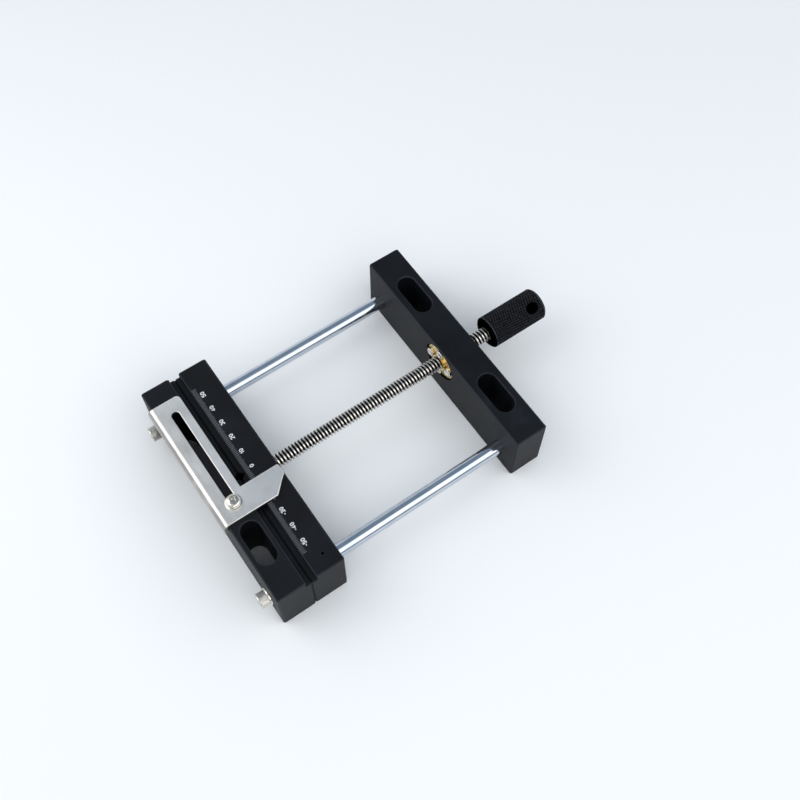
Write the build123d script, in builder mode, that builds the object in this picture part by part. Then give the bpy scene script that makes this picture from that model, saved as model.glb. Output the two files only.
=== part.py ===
from build123d import *
import os
from math import cos, pi, radians, sin

os.makedirs("parts", exist_ok=True)

# A flat jaw machine vise that bolts down on a drill or mill table.
# X runs along the lead screw from the fixed jaw to the handle, Y along the jaws, Z up.
# The origin is on the table, midway between the two clamping slots of the fixed jaw.
# All lengths are in millimetres, and the jaws are closed.

# Blocks
block_length = 138.0
block_thickness = 19.5
block_height = 38.0
edge_break = 0.7
frame_opening = 127.0

# Jaw faces
step_width = 3.0
step_depth = 4.0
vee_width = 6.0
jaw_lift = 0.5
jaw_top_gap = 0.2

# Clamping slots
slot_width = 11.0
slot_length = 26.0
slot_spacing = 75.5
fixed_slot_setback = 8.4
slot_mouth_break = 0.5

# Guide rods
rod_diameter = 8.0
rod_from_end = 12.5
rod_height = 15.5
rod_seat_gap = 0.02
rod_running_gap = 0.04
rod_end_wall = 5.5
rod_end_break = 0.5
bush_wall = 1.0

# Screws that hold the rod ends
rod_screw_diameter = 5.0
rod_screw_grip = 10.0
rod_screw_head_diameter = 8.5
rod_screw_head_height = 5.0
rod_screw_socket = 4.0
rod_screw_socket_depth = 2.5
rod_washer_diameter = 10.0
rod_washer_thickness = 1.0
rod_tap_depth = 13.0
rod_grub_diameter = 5.0
rod_grub_length = 8.0
rod_grub_socket = 2.5
rod_grub_socket_depth = 3.0

# Lead screw
screw_diameter = 8.0
screw_height = 25.5
screw_running_gap = 0.08
screw_end_break = 0.5
journal_diameter = 6.0
journal_length = 12.0
journal_bore_end_gap = 0.6
groove_depth = 0.9
groove_width = 3.1
groove_from_jaw_back = 6.0
thrust_washer_diameter = 12.0
thrust_washer_thickness = 1.0
thrust_end_float = 0.1
screw_reach_into_handle = 21.0

# Small blind hole in the moving jaw's top
oil_hole_diameter = 1.5
oil_hole_depth = 6.0
oil_hole_setback = 7.4
oil_hole_from_end = 8.7

# Pins that hold the journal
pin_diameter = 2.5
pin_running_gap = 0.1
pin_recess = 1.0
pin_reach_above_screw = 3.5

# Nut
nut_flange_diameter = 22.0
nut_flange_thickness = 3.5
nut_body_diameter = 10.2
nut_body_length = 10.0
nut_boss_length = 1.5
nut_body_gap = 0.1
nut_pocket_diameter = 23.5
nut_pocket_depth = 4.5
nut_screw_circle = 16.0
nut_screw_count = 4
nut_screw_diameter = 3.0
nut_screw_grip = 7.0
nut_screw_head_diameter = 5.4
nut_screw_head_height = 2.0
nut_screw_hole_gap = 0.2

# Handle
handle_gap = 13.0
handle_diameter = 19.0
handle_length = 36.0
handle_end_break = 1.2
tommy_hole_diameter = 6.0
tommy_hole_from_end = 8.0
handle_grub_diameter = 3.0
handle_grub_length = 5.0
handle_grub_socket = 1.5
handle_grub_socket_depth = 1.6
handle_grub_setback = 8.0
handle_turn = 32.0

# Work stop
stop_thickness = 2.0
stop_flange_gap = 0.4
stop_flange_drop = 9.0
stop_bend_inner_radius = 1.1
stop_high_end = 56.4
stop_length = 78.9
stop_strip_setback = 0.3
stop_arm_width = 15.0
stop_arm_reach = 19.0
stop_arm_chamfer = 9.0
stop_corner_radius = 2.5
stop_edge_break = 0.5
stop_slot_width = 4.5
stop_slot_low_margin = 6.9
stop_slot_high_margin = 8.0
stop_slot_setback = 9.0
stop_screw_diameter = 3.9
stop_screw_length = 14.0
stop_screw_head_diameter = 7.6
stop_screw_head_height = 2.7
stop_screw_recess_depth = 1.7
stop_screw_play = 0.1
stop_washer_diameter = 9.0
stop_washer_thickness = 0.8

# General
thread_gap = 0.05
shank_gap = 0.15
hole_tip_gap = 1.0

# Places that follow from the sizes above
jaw_outer_x = -fixed_slot_setback
jaw_face_x = jaw_outer_x + block_thickness
moving_back_x = jaw_face_x + block_thickness
rear_inner_x = jaw_face_x + frame_opening
rear_outer_x = rear_inner_x + block_thickness
rear_middle_x = (rear_inner_x + rear_outer_x) / 2
moving_bottom_z = jaw_lift
moving_top_z = block_height - jaw_top_gap
rod_spacing = block_length - 2 * rod_from_end
rod_places = [rod_spacing / 2, -rod_spacing / 2]
rod_front_x = jaw_outer_x + rod_end_wall
slot_places = [slot_spacing / 2, -slot_spacing / 2]
pocket_floor_x = rear_inner_x + nut_pocket_depth
nut_face_x = pocket_floor_x - nut_flange_thickness
screw_shoulder_x = moving_back_x + thrust_washer_thickness + thrust_end_float
journal_tip_x = moving_back_x - journal_length
groove_middle_x = moving_back_x - groove_from_jaw_back
handle_near_x = rear_outer_x + handle_gap
handle_far_x = handle_near_x + handle_length
stop_low_end = stop_high_end - stop_length
stop_top_z = block_height + stop_thickness
stop_screw_x = jaw_outer_x + stop_slot_setback
stop_slot_low = stop_low_end + stop_slot_low_margin
stop_slot_length = stop_length - stop_slot_low_margin - stop_slot_high_margin
stop_screw_y = stop_slot_low + stop_slot_width / 2 + stop_screw_play
stop_hole_depth = stop_screw_length - stop_thickness - stop_washer_thickness + hole_tip_gap


def along_x(x, y, z):
    """A sketch plane across the X axis at x, with its own x along Y and its own y along Z."""
    return Plane(origin=(x, y, z), x_dir=(0, 1, 0), z_dir=(1, 0, 0))


def block(low_x, bottom, top, step_side):
    """A block with broken edges, stepped along the top of its face on step_side, which is -1, 0 or 1."""
    high_x = low_x + block_thickness
    step_floor = top - step_depth
    inner_x = high_x - step_width if step_side > 0 else low_x + step_width
    corners = [(low_x, bottom), (high_x, bottom), (high_x, top), (low_x, top)]
    if step_side > 0:
        corners[2:3] = [(high_x, step_floor), (inner_x, step_floor), (inner_x, top)]
    if step_side < 0:
        corners[3:4] = [(inner_x, top), (inner_x, step_floor), (low_x, step_floor)]
    with BuildPart() as blank:
        with BuildSketch(Plane.XZ):
            with BuildLine():
                Polyline(*corners, close=True)
            make_face()
            outer_corners = vertices()
            if step_side:
                outer_corners = vertices().sort_by_distance((inner_x, step_floor, 0))[1:]
            chamfer(outer_corners, length=edge_break)
        extrude(amount=block_length / 2, both=True)
        end_faces = faces().filter_by(Axis.Y)
        chamfer(end_faces.edges(), length=edge_break)
    return blank.part


def cross_recess(head_diameter, depth):
    """The cutter for a cross drive in a screw head, with its mouth on Z = 0 and its tip below."""
    arm = head_diameter * 0.56
    width = head_diameter * 0.16
    with BuildPart() as cutter:
        for angle in (0, 90):
            with BuildSketch(Plane.XY.rotated((0, 0, angle))):
                Rectangle(arm, width)
        extrude(amount=-depth)
    return cutter.part


def headed_screw(shank, head_diameter, head_height, length):
    """A screw that points down, with a plain round head seated on Z = 0."""
    with BuildPart() as screw:
        with BuildSketch(Plane.XY):
            Circle(head_diameter / 2)
        extrude(amount=head_height)
        with BuildSketch(Plane.XY):
            Circle(shank / 2)
        extrude(amount=-length)
    return screw.part


def cap_screw(shank, head_diameter, head_height, length, socket, socket_depth):
    """A headed screw with a hexagon socket in its head."""
    with BuildPart() as screw:
        add(headed_screw(shank, head_diameter, head_height, length))
        with BuildSketch(Plane.XY.offset(head_height)):
            RegularPolygon(radius=socket / 2, side_count=6, major_radius=False)
        extrude(amount=-socket_depth, mode=Mode.SUBTRACT)
    return screw.part


def cross_screw(shank, head_diameter, head_height, length, recess_depth):
    """A headed screw with a cross recess in its head."""
    with BuildPart() as screw:
        add(headed_screw(shank, head_diameter, head_height, length))
        with Locations((0, 0, head_height)):
            add(cross_recess(head_diameter, recess_depth), mode=Mode.SUBTRACT)
    return screw.part


def grub_screw(diameter, length, socket, socket_depth):
    """A socket set screw whose driven end is on Z = 0 and whose point is at Z = length."""
    with BuildPart() as screw:
        with BuildSketch(Plane.XY):
            Circle(diameter / 2)
        extrude(amount=length)
        with BuildSketch(Plane.XY):
            RegularPolygon(radius=socket / 2, side_count=6, major_radius=False)
        extrude(amount=socket_depth, mode=Mode.SUBTRACT)
    return screw.part


def washer(diameter, hole, thickness):
    """A flat washer on Z = 0."""
    with BuildPart() as ring:
        with BuildSketch(Plane.XY):
            Circle(diameter / 2)
            Circle(hole / 2, mode=Mode.SUBTRACT)
        extrude(amount=thickness)
    return ring.part


# Fixed jaw
with BuildPart() as fixed_jaw:
    add(block(jaw_outer_x, 0, block_height, 1))
    with BuildSketch(Plane.XY):
        with BuildLine():
            Polyline(
                (jaw_face_x - vee_width / 2, 0),
                (jaw_face_x + vee_width / 2, vee_width),
                (jaw_face_x + vee_width / 2, -vee_width),
                close=True,
            )
        make_face()
    extrude(amount=block_height, mode=Mode.SUBTRACT)
    with BuildSketch(Plane.XY):
        with Locations([(0, y) for y in slot_places]):
            SlotOverall(slot_length, slot_width, rotation=90)
    extrude(amount=block_height, mode=Mode.SUBTRACT)
    for y in slot_places:
        top_edges = edges().filter_by_position(Axis.Z, block_height, block_height)
        beside_slot = top_edges.filter_by_position(Axis.Y, y - slot_length / 2, y + slot_length / 2)
        chamfer(beside_slot.filter_by_position(Axis.X, -slot_width / 2, slot_width / 2), slot_mouth_break)
    with BuildSketch(along_x(rod_front_x, 0, rod_height)):
        with Locations([(y, 0) for y in rod_places]):
            Circle(rod_diameter / 2 + rod_seat_gap)
    extrude(amount=block_thickness, mode=Mode.SUBTRACT)
    with BuildSketch(along_x(jaw_outer_x, 0, rod_height)):
        with Locations([(y, 0) for y in rod_places]):
            Circle(rod_screw_diameter / 2 + shank_gap)
    extrude(amount=rod_end_wall, mode=Mode.SUBTRACT)
    with BuildSketch(Plane.XY.offset(block_height)):
        with Locations((stop_screw_x, stop_screw_y)):
            Circle(stop_screw_diameter / 2 + thread_gap)
    extrude(amount=-stop_hole_depth, mode=Mode.SUBTRACT)
fixed_jaw.part.label = "fixed_jaw"
export_step(fixed_jaw.part, "parts/fixed_jaw.step")

# Rear block, with the pocket that holds the nut
with BuildPart() as rear_block:
    add(block(rear_inner_x, 0, block_height, 0))
    with BuildSketch(Plane.XY):
        with Locations([(rear_middle_x, y) for y in slot_places]):
            SlotOverall(slot_length, slot_width, rotation=90)
    extrude(amount=block_height, mode=Mode.SUBTRACT)
    for y in slot_places:
        slot_low_x = rear_middle_x - slot_width / 2
        top_edges = edges().filter_by_position(Axis.Z, block_height, block_height)
        beside_slot = top_edges.filter_by_position(Axis.Y, y - slot_length / 2, y + slot_length / 2)
        chamfer(beside_slot.filter_by_position(Axis.X, slot_low_x, slot_low_x + slot_width), slot_mouth_break)
    with BuildSketch(along_x(rear_inner_x, 0, rod_height)):
        with Locations([(y, 0) for y in rod_places]):
            Circle(rod_diameter / 2 + rod_seat_gap)
    extrude(amount=block_thickness, mode=Mode.SUBTRACT)
    with BuildSketch(along_x(rear_inner_x, 0, screw_height)):
        Circle(nut_pocket_diameter / 2)
    extrude(amount=nut_pocket_depth, mode=Mode.SUBTRACT)
    with BuildSketch(along_x(pocket_floor_x, 0, screw_height)):
        Circle(nut_body_diameter / 2 + nut_body_gap)
    extrude(amount=block_thickness - nut_pocket_depth, mode=Mode.SUBTRACT)
    with BuildSketch(along_x(pocket_floor_x, 0, screw_height)):
        with PolarLocations(nut_screw_circle / 2, nut_screw_count):
            Circle(nut_screw_diameter / 2 + thread_gap)
    extrude(amount=nut_screw_grip + hole_tip_gap, mode=Mode.SUBTRACT)
    with BuildSketch(Plane.XY):
        with Locations([(rear_middle_x, y) for y in rod_places]):
            Circle(rod_grub_diameter / 2 + thread_gap)
    extrude(amount=rod_height, mode=Mode.SUBTRACT)
rear_block.part.label = "rear_block"
export_step(rear_block.part, "parts/rear_block.step")


def guide_rod(y):
    """A rod from its seat in the fixed jaw to the rear block's outer face, tapped at its front end."""
    with BuildPart() as rod:
        with BuildSketch(along_x(rod_front_x, y, rod_height)):
            Circle(rod_diameter / 2)
        extrude(amount=rear_outer_x - rod_front_x)
        chamfer(edges().group_by(Axis.X)[-1], length=rod_end_break)
        with BuildSketch(along_x(rod_front_x, y, rod_height)):
            Circle(rod_screw_diameter / 2 + thread_gap)
        extrude(amount=rod_tap_depth, mode=Mode.SUBTRACT)
    return rod


# Guide rods
left_rod = guide_rod(rod_places[0])
left_rod.part.label = "left_guide_rod"
export_step(left_rod.part, "parts/left_guide_rod.step")

right_rod = guide_rod(rod_places[1])
right_rod.part.label = "right_guide_rod"
export_step(right_rod.part, "parts/right_guide_rod.step")

# Cap screws and washers that pull the rods into the fixed jaw
rod_screw_length = rod_washer_thickness + rod_end_wall + rod_screw_grip
rod_screw_shape = cap_screw(
    rod_screw_diameter,
    rod_screw_head_diameter,
    rod_screw_head_height,
    rod_screw_length,
    rod_screw_socket,
    rod_screw_socket_depth,
)
rod_washer_hole = rod_screw_diameter + 2 * shank_gap
rod_washer_shape = washer(rod_washer_diameter, rod_washer_hole, rod_washer_thickness)

with BuildPart() as rod_end_screws:
    for y in rod_places:
        head_seat = Plane(
            origin=(jaw_outer_x - rod_washer_thickness, y, rod_height), x_dir=(0, 1, 0), z_dir=(-1, 0, 0)
        )
        add(head_seat * rod_screw_shape)
rod_end_screws.part.label = "rod_end_screws"
export_step(rod_end_screws.part, "parts/rod_end_screws.step")

with BuildPart() as rod_end_washers:
    for y in rod_places:
        washer_seat = Plane(origin=(jaw_outer_x, y, rod_height), x_dir=(0, 1, 0), z_dir=(-1, 0, 0))
        add(washer_seat * rod_washer_shape)
rod_end_washers.part.label = "rod_end_washers"
export_step(rod_end_washers.part, "parts/rod_end_washers.step")

# Grub screws under the rear block, which lock the rods
rod_grub_shape = grub_screw(rod_grub_diameter, rod_grub_length, rod_grub_socket, rod_grub_socket_depth)
rod_grub_bottom = rod_height - rod_diameter / 2 - rod_grub_length

with BuildPart() as rod_grub_screws:
    for y in rod_places:
        with Locations((rear_middle_x, y, rod_grub_bottom)):
            add(rod_grub_shape)
rod_grub_screws.part.label = "rod_grub_screws"
export_step(rod_grub_screws.part, "parts/rod_grub_screws.step")

# Flanged nut, seated in the pocket of the rear block
with BuildPart() as lead_nut:
    with BuildSketch(along_x(nut_face_x - nut_boss_length, 0, screw_height)):
        Circle(nut_body_diameter / 2)
    extrude(amount=nut_boss_length + nut_flange_thickness + nut_body_length)
    with BuildSketch(along_x(nut_face_x, 0, screw_height)):
        Circle(nut_flange_diameter / 2)
    extrude(amount=nut_flange_thickness)
    with BuildSketch(along_x(nut_face_x, 0, screw_height)):
        with PolarLocations(nut_screw_circle / 2, nut_screw_count):
            Circle(nut_screw_diameter / 2 + nut_screw_hole_gap)
    extrude(amount=nut_flange_thickness, mode=Mode.SUBTRACT)
    with BuildSketch(along_x(nut_face_x - nut_boss_length, 0, screw_height)):
        Circle(screw_diameter / 2 + screw_running_gap)
    extrude(amount=nut_boss_length + nut_flange_thickness + nut_body_length, mode=Mode.SUBTRACT)
lead_nut.part.label = "lead_nut"
export_step(lead_nut.part, "parts/lead_nut.step")

nut_screw_length = nut_flange_thickness + nut_screw_grip
nut_screw_shape = headed_screw(
    nut_screw_diameter,
    nut_screw_head_diameter,
    nut_screw_head_height,
    nut_screw_length,
)

with BuildPart() as nut_screws:
    for index in range(nut_screw_count):
        turn = 2 * pi * index / nut_screw_count
        place = (
            nut_face_x,
            nut_screw_circle / 2 * cos(turn),
            screw_height + nut_screw_circle / 2 * sin(turn),
        )
        add(Plane(origin=place, x_dir=(0, 1, 0), z_dir=(-1, 0, 0)) * nut_screw_shape)
nut_screws.part.label = "nut_screws"
export_step(nut_screws.part, "parts/nut_screws.step")

# Moving jaw, bored for the rod bushes and for the end of the lead screw
bush_diameter = rod_diameter + 2 * rod_running_gap + 2 * bush_wall
journal_bore_depth = journal_length + journal_bore_end_gap
pin_side_y = journal_diameter / 2 - groove_depth + pin_running_gap + pin_diameter / 2
pin_bottom_z = moving_bottom_z + pin_recess
pin_top_z = screw_height + pin_reach_above_screw

with BuildPart() as moving_jaw:
    add(block(jaw_face_x, moving_bottom_z, moving_top_z, -1))
    with BuildSketch(Plane.XY):
        with BuildLine():
            Polyline(
                (jaw_face_x + vee_width / 2, 0),
                (jaw_face_x - vee_width / 2, -vee_width),
                (jaw_face_x - vee_width / 2, vee_width),
                close=True,
            )
        make_face()
    extrude(amount=block_height, mode=Mode.SUBTRACT)
    with BuildSketch(along_x(jaw_face_x, 0, rod_height)):
        with Locations([(y, 0) for y in rod_places]):
            Circle(bush_diameter / 2)
    extrude(amount=block_thickness, mode=Mode.SUBTRACT)
    with BuildSketch(along_x(moving_back_x, 0, screw_height)):
        Circle(journal_diameter / 2 + screw_running_gap)
    extrude(amount=-journal_bore_depth, mode=Mode.SUBTRACT)
    with BuildSketch(Plane.XY.offset(moving_bottom_z)):
        with Locations([(groove_middle_x, y) for y in (pin_side_y, -pin_side_y)]):
            Circle(pin_diameter / 2)
    extrude(amount=pin_top_z - moving_bottom_z, mode=Mode.SUBTRACT)
    with BuildSketch(Plane.XY.offset(moving_top_z)):
        with Locations((moving_back_x - oil_hole_setback, oil_hole_from_end - block_length / 2)):
            Circle(oil_hole_diameter / 2)
    extrude(amount=-oil_hole_depth, mode=Mode.SUBTRACT)
moving_jaw.part.label = "moving_jaw"
export_step(moving_jaw.part, "parts/moving_jaw.step")


def rod_bush(y):
    """A plain bush as long as the moving jaw is thick."""
    with BuildPart() as bush:
        with BuildSketch(along_x(jaw_face_x, y, rod_height)):
            Circle(bush_diameter / 2)
            Circle(rod_diameter / 2 + rod_running_gap, mode=Mode.SUBTRACT)
        extrude(amount=block_thickness)
    return bush


left_bush = rod_bush(rod_places[0])
left_bush.part.label = "left_rod_bush"
export_step(left_bush.part, "parts/left_rod_bush.step")

right_bush = rod_bush(rod_places[1])
right_bush.part.label = "right_rod_bush"
export_step(right_bush.part, "parts/right_rod_bush.step")

# Two pins, pressed in from below, run in the groove of the screw's journal
with BuildPart() as retaining_pins:
    with BuildSketch(Plane.XY.offset(pin_bottom_z)):
        with Locations([(groove_middle_x, y) for y in (pin_side_y, -pin_side_y)]):
            Circle(pin_diameter / 2)
    extrude(amount=pin_top_z - pin_bottom_z)
retaining_pins.part.label = "retaining_pins"
export_step(retaining_pins.part, "parts/retaining_pins.step")

# Thrust washer between the screw's shoulder and the moving jaw
with BuildPart() as thrust_washer:
    with BuildSketch(along_x(moving_back_x, 0, screw_height)):
        Circle(thrust_washer_diameter / 2)
        Circle(journal_diameter / 2 + shank_gap, mode=Mode.SUBTRACT)
    extrude(amount=thrust_washer_thickness)
thrust_washer.part.label = "thrust_washer"
export_step(thrust_washer.part, "parts/thrust_washer.step")

# Lead screw, turned down to a grooved journal at the jaw's end
screw_end_x = handle_near_x + screw_reach_into_handle
screw_radius = screw_diameter / 2
journal_radius = journal_diameter / 2
groove_radius = journal_radius - groove_depth
groove_low_x = groove_middle_x - groove_width / 2
groove_high_x = groove_middle_x + groove_width / 2

with BuildPart() as lead_screw:
    with BuildSketch(Plane.XZ):
        with BuildLine():
            Polyline(
                (journal_tip_x, screw_height),
                (journal_tip_x, screw_height + journal_radius),
                (groove_low_x, screw_height + journal_radius),
                (groove_low_x, screw_height + groove_radius),
                (groove_high_x, screw_height + groove_radius),
                (groove_high_x, screw_height + journal_radius),
                (screw_shoulder_x, screw_height + journal_radius),
                (screw_shoulder_x, screw_height + screw_radius - screw_end_break),
                (screw_shoulder_x + screw_end_break, screw_height + screw_radius),
                (screw_end_x, screw_height + screw_radius),
                (screw_end_x, screw_height),
                close=True,
            )
        make_face()
    revolve(axis=Axis((0, 0, screw_height), (1, 0, 0)))
lead_screw.part.label = "lead_screw"
export_step(lead_screw.part, "parts/lead_screw.step")

# Handle, cross-drilled for a tommy bar and for the grub screw that locks it to the screw
turn = radians(handle_turn)
out_of_handle = (0, -sin(turn), cos(turn))
handle_radius = handle_diameter / 2
tommy_x = handle_far_x - tommy_hole_from_end
handle_grub_x = handle_near_x + handle_grub_setback
tommy_plane = Plane(origin=(tommy_x, 0, screw_height), x_dir=(1, 0, 0), z_dir=out_of_handle)
handle_grub_plane = Plane(origin=(handle_grub_x, 0, screw_height), x_dir=(1, 0, 0), z_dir=out_of_handle)

with BuildPart() as handle:
    with BuildSketch(along_x(handle_near_x, 0, screw_height)):
        Circle(handle_radius)
    extrude(amount=handle_length)
    end_edges = edges().group_by(Axis.X)[0] + edges().group_by(Axis.X)[-1]
    chamfer(end_edges, length=handle_end_break)
    with BuildSketch(along_x(handle_near_x, 0, screw_height)):
        Circle(screw_radius + thread_gap)
    extrude(amount=screw_reach_into_handle + hole_tip_gap / 2, mode=Mode.SUBTRACT)
    with BuildSketch(tommy_plane):
        Circle(tommy_hole_diameter / 2)
    extrude(amount=handle_diameter, both=True, mode=Mode.SUBTRACT)
    with BuildSketch(handle_grub_plane):
        Circle(handle_grub_diameter / 2 + thread_gap)
    extrude(amount=handle_diameter, mode=Mode.SUBTRACT)
handle.part.label = "handle"
export_step(handle.part, "parts/handle.step")

handle_grub_shape = grub_screw(
    handle_grub_diameter, handle_grub_length, handle_grub_socket, handle_grub_socket_depth
)
with BuildPart() as handle_grub_screw:
    grub_seat = Plane(
        origin=handle_grub_plane.offset(screw_radius + handle_grub_length).origin,
        x_dir=(1, 0, 0),
        z_dir=(0, sin(turn), -cos(turn)),
    )
    add(grub_seat * handle_grub_shape)
handle_grub_screw.part.label = "handle_grub_screw"
export_step(handle_grub_screw.part, "parts/handle_grub_screw.step")

# Work stop, a bent plate that slides along the fixed jaw, with an arm across both jaws
flange_inner_x = jaw_outer_x - stop_flange_gap
flange_outer_x = flange_inner_x - stop_thickness
flange_low_z = stop_top_z - stop_flange_drop
strip_edge_x = jaw_face_x - step_width - stop_strip_setback
arm_end_x = jaw_face_x + stop_arm_reach
arm_high_y = stop_low_end + stop_arm_width
bend_outer_radius = stop_bend_inner_radius + stop_thickness
bend_end_x = flange_outer_x + bend_outer_radius

with BuildPart() as stop_bracket:
    with BuildSketch(Plane.XZ.offset(-stop_high_end)) as side:
        with BuildLine():
            Polyline(
                (strip_edge_x, block_height),
                (flange_inner_x, block_height),
                (flange_inner_x, flange_low_z),
                (flange_outer_x, flange_low_z),
                (flange_outer_x, stop_top_z),
                (strip_edge_x, stop_top_z),
                close=True,
            )
        make_face()
        inner_corner = side.vertices().sort_by_distance((flange_inner_x, stop_high_end, block_height))[0]
        fillet(inner_corner, radius=stop_bend_inner_radius)
        outer_corner = side.vertices().sort_by_distance((flange_outer_x, stop_high_end, stop_top_z))[0]
        fillet(outer_corner, radius=bend_outer_radius)
    extrude(amount=stop_length)
    with BuildSketch(Plane.XY.offset(block_height)):
        with BuildLine():
            Polyline(
                (bend_end_x, stop_low_end),
                (arm_end_x - stop_arm_chamfer, stop_low_end),
                (arm_end_x, stop_low_end + stop_arm_chamfer),
                (arm_end_x, arm_high_y),
                (bend_end_x, arm_high_y),
                close=True,
            )
        make_face()
    extrude(amount=stop_thickness)
    strip_corner = edges().filter_by(Axis.Z).sort_by_distance((strip_edge_x, stop_high_end, stop_top_z))[0]
    fillet(strip_corner, radius=stop_corner_radius)
    arm_corner = edges().filter_by(Axis.Z).sort_by_distance((arm_end_x, arm_high_y, stop_top_z))[0]
    fillet(arm_corner, radius=stop_corner_radius / 2)
    with BuildSketch(Plane.XY.offset(block_height)):
        with Locations((stop_screw_x, stop_slot_low + stop_slot_length / 2)):
            SlotOverall(stop_slot_length, stop_slot_width, rotation=90)
    extrude(amount=stop_thickness, mode=Mode.SUBTRACT)
    top_edges = edges().filter_by_position(Axis.Z, stop_top_z, stop_top_z)
    bend_line = top_edges.group_by(Axis.X)[0]
    chamfer(top_edges - bend_line, length=stop_edge_break)
stop_bracket.part.label = "stop_bracket"
export_step(stop_bracket.part, "parts/stop_bracket.step")

stop_washer_hole = stop_screw_diameter + 2 * shank_gap
stop_washer_shape = washer(stop_washer_diameter, stop_washer_hole, stop_washer_thickness)
with BuildPart() as stop_washer:
    with Locations((stop_screw_x, stop_screw_y, stop_top_z)):
        add(stop_washer_shape)
stop_washer.part.label = "stop_washer"
export_step(stop_washer.part, "parts/stop_washer.step")

stop_screw_shape = cross_screw(
    stop_screw_diameter,
    stop_screw_head_diameter,
    stop_screw_head_height,
    stop_screw_length,
    stop_screw_recess_depth,
)
with BuildPart() as stop_screw:
    with Locations((stop_screw_x, stop_screw_y, stop_top_z + stop_washer_thickness)):
        add(stop_screw_shape)
stop_screw.part.label = "stop_screw"
export_step(stop_screw.part, "parts/stop_screw.step")
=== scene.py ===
# %% [markdown]
# A flat machine vise is three black blocks on two chromed rods, with a screw down the middle. It bolts to
# a drill's table through the long slots in its end blocks. Turning the handle moves the middle block,
# the moving jaw, against the fixed jaw, and a bent steel plate on top is a stop to set work against.
#
# The solids and their joints come from the CAD as a fixed frame. This file adds what they leave plain,
# which is the thread, the knurl, the small screws, the scale and the work stop's bend, and every finish.

# %% Load the vise's frame
from math import cos, pi, radians, sin, tan

import bmesh
import bpy
import numpy as np
from mathutils import Matrix, Vector


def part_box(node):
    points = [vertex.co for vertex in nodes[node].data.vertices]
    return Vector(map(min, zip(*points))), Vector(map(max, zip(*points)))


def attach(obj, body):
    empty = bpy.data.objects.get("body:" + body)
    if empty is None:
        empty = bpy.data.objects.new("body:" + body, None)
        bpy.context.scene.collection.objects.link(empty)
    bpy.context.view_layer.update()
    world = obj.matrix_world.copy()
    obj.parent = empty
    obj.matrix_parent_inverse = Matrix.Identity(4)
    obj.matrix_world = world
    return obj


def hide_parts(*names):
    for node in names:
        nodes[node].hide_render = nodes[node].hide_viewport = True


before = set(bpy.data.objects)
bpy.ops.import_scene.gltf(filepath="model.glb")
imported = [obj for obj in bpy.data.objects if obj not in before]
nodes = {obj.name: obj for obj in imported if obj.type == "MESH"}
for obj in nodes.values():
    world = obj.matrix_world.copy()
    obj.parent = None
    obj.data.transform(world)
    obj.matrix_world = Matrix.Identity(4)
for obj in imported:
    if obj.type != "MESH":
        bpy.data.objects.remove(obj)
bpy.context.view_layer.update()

MM = 0.001

# %% [markdown]
# Nothing is placed by eye. The box of each solid says where its detailed piece belongs, so the places
# are read once here and used all through the lesson.

# %% Places read from the solids
jaw_low, jaw_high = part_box("moving_jaw")
fixed_low, fixed_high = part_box("fixed_jaw")
screw_low, screw_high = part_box("lead_screw")
handle_low, handle_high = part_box("handle")
left_rod_low, left_rod_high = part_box("left_guide_rod")
screw_z = (screw_low.z + screw_high.z) / 2
rod_y = (left_rod_low.y + left_rod_high.y) / 2
rod_z = (left_rod_low.z + left_rod_high.z) / 2
print("the screw's axis is", round(screw_z / MM, 2), "mm up, the rods'", round(rod_z / MM, 2))

# %% [markdown]
# Most new pieces here are round about an axis. A lathe makes them from a profile, and so does this: a
# grid of points whose rows are rings and whose columns go round. Blender's Screw modifier would do for
# plain ones, but the thread, the knurl and the screw heads need a radius that also changes as it goes
# round, and an array gives every point its own. A part is three arrays: points, quads and triangles.

# %% Rings of points
NO_TRIANGLES = np.empty((0, 3), int)


def grid_quads(rows, columns):
    """The quads of a grid: (i, j) joins rows i and i + 1 and columns j and j + 1, and columns close up."""
    row, column = np.meshgrid(np.arange(rows - 1), np.arange(columns), indexing="ij")
    here, after = row * columns + column, row * columns + (column + 1) % columns
    return np.stack([here, after, after + columns, here + columns], -1).reshape(-1, 4)


def fan(pole, ring):
    """Triangles from one point to each pair of neighbours on a closed ring of point numbers."""
    return np.stack([np.full(len(ring), pole), np.roll(ring, -1), ring], -1)


def angles_of(columns):
    """The angle of each column: 2 pi j / columns."""
    return np.arange(columns) * (2 * pi / columns)


def rings(along, radius, poles=None):
    """A part from two grids: point (i, j) is (along, radius times cos a, radius times sin a).

    The angle a is column j's. poles are two places on the axis, where fans close the first and last
    ring. Without them the last ring is joined to the first, as in a washer.
    """
    rows, columns = radius.shape
    angle = angles_of(columns)
    points = np.stack([along, radius * np.cos(angle), radius * np.sin(angle)], -1).reshape(-1, 3)
    if poles is None:
        return points, grid_quads(rows + 1, columns) % len(points), NO_TRIANGLES
    first_ring = np.arange(columns)
    last_fan = fan(len(points) + 1, first_ring + (rows - 1) * columns)[:, ::-1]
    triangles = np.vstack([fan(len(points), first_ring), last_fan])
    return np.vstack([points, [(x, 0, 0) for x in poles]]), grid_quads(rows, columns), triangles


plain_ring = rings(np.zeros((4, 8)), np.ones((4, 8)))
print("a closed grid of 4 rings of 8 points has", len(plain_ring[1]), "quads")

# %% [markdown]
# A turned part is the plain case, in which every column has the same profile.

# %% Turned parts
def carried_round(profile, columns):
    """The two grids of (along, radius) pairs that are the same in every column."""
    return np.repeat(np.transpose(profile)[:, :, None], columns, 2)


def turned(profile, poles=None, columns=96):
    """A part turned on a lathe: its profile is carried round."""
    return rings(*carried_round(profile, columns), poles)


plain_pin = turned([(0, 1 * MM), (5 * MM, 1 * MM)], poles=(0, 5 * MM))
print("points, quads and triangles of a plain pin:", [len(array) for array in plain_pin])

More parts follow.
